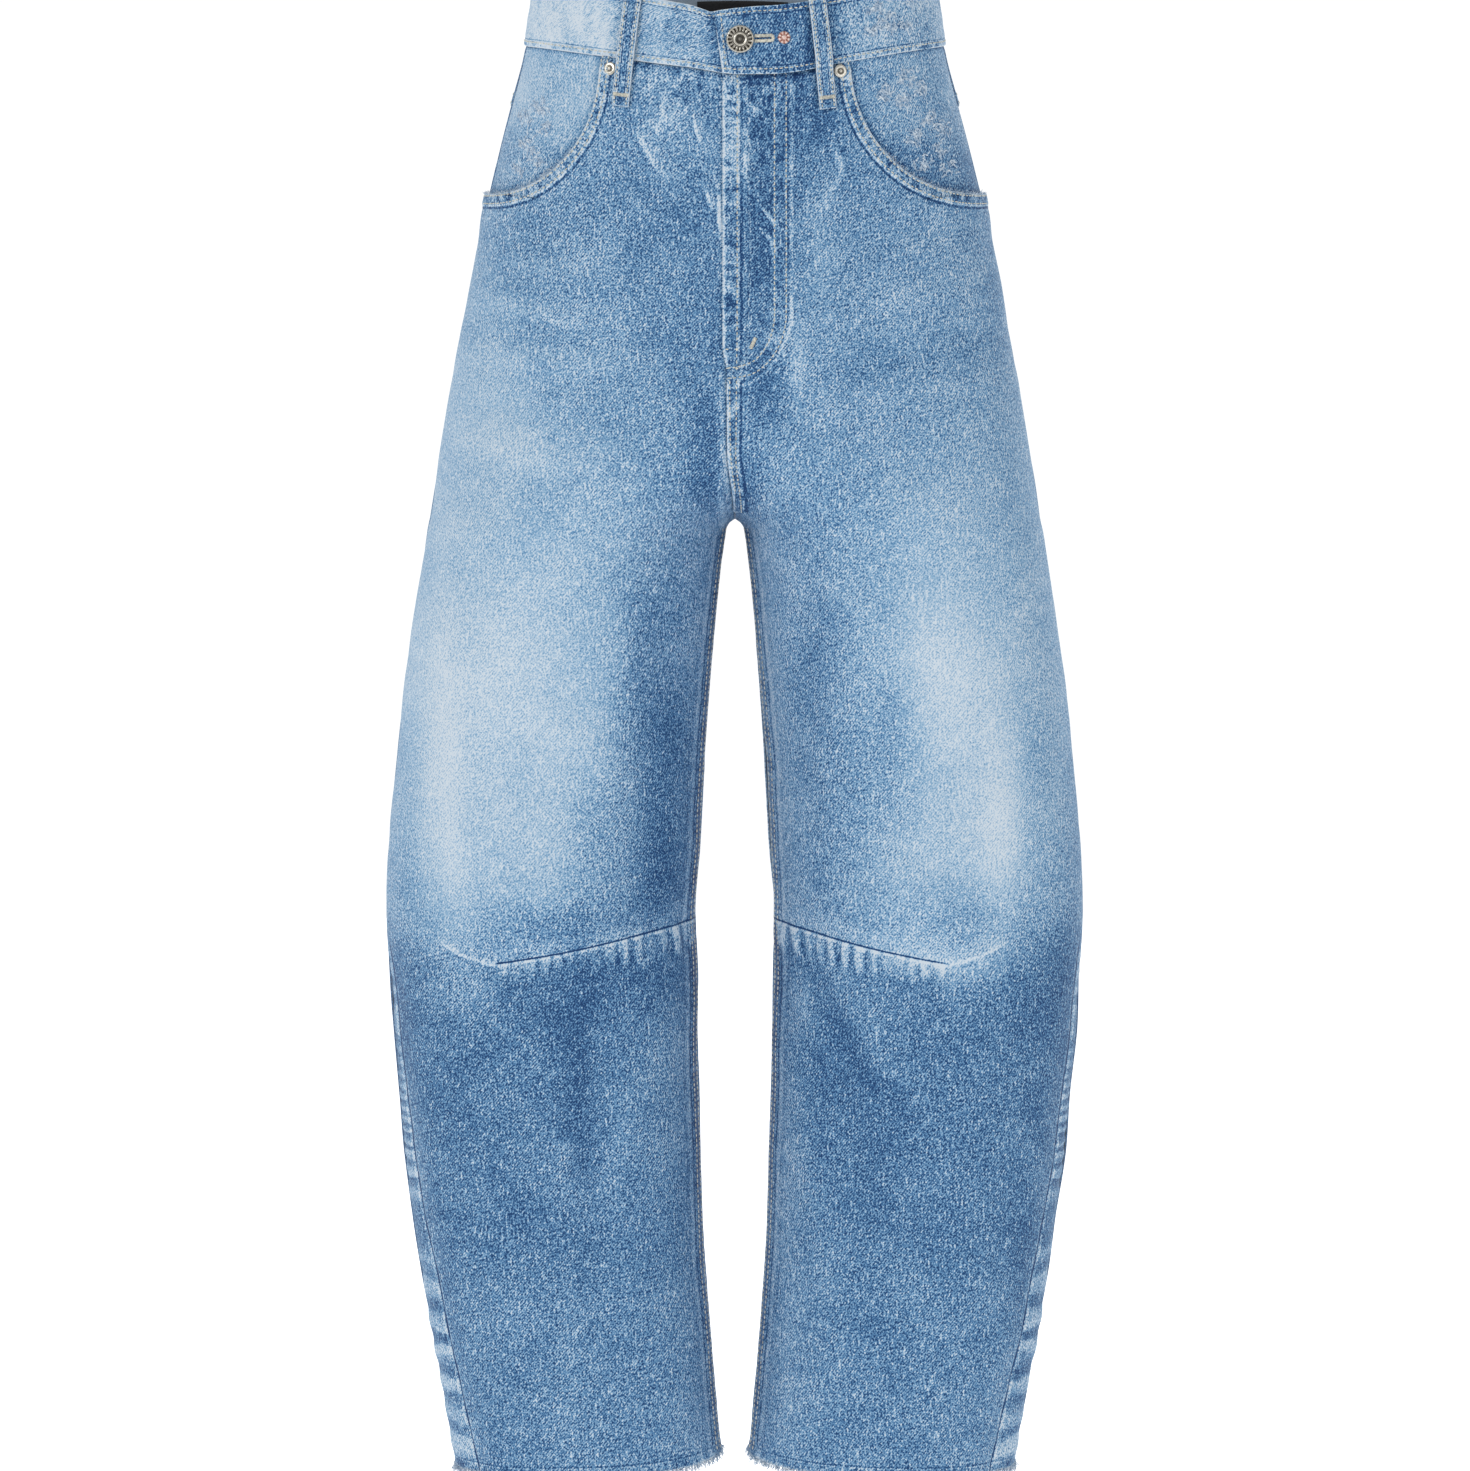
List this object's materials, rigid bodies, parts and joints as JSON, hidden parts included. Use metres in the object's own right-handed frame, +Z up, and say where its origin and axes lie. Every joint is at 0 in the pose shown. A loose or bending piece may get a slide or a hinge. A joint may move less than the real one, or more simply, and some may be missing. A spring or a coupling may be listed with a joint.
{
  "type": "barrel-leg jeans",
  "caption": "High-waisted barrel-leg denim trousers, filled out with no wearer, with scooped front pockets, knee and shin darts, belt loops and a raw hem.",
  "frame": {"origin": "middle of the waist at the level of the side seams' top edge, where the wearer's waist holds it", "axes": "+Z up the body, +X to the wearer's left, -Y out of the front"},
  "size_m": [0.4524, 0.238, 0.9789],
  "materials": {
    "denim": "stone-washed mid-blue denim with pale fades",
    "tape": "plain black woven tape",
    "steel": "antique silver",
    "copper": "pale copper"
  },
  "bodies": {
    "root": {"front_right": "denim", "front_left": "denim", "hip_right": "denim", "hip_left": "denim", "yoke_right": "denim", "yoke_left": "denim", "back_right": "denim", "back_left": "denim", "back_pocket_right": "denim", "back_pocket_left": "denim", "waistband": "denim", "belt_loop_front_right": "denim", "belt_loop_front_left": "denim", "belt_loop_back_right": "denim", "belt_loop_back_left": "denim", "belt_loop_centre_back": "denim", "back_tape": "tape", "waist_button": "steel", "rivet_right": "steel", "rivet_left": "steel", "copper_tack": "copper"}
  },
  "joints": []
}
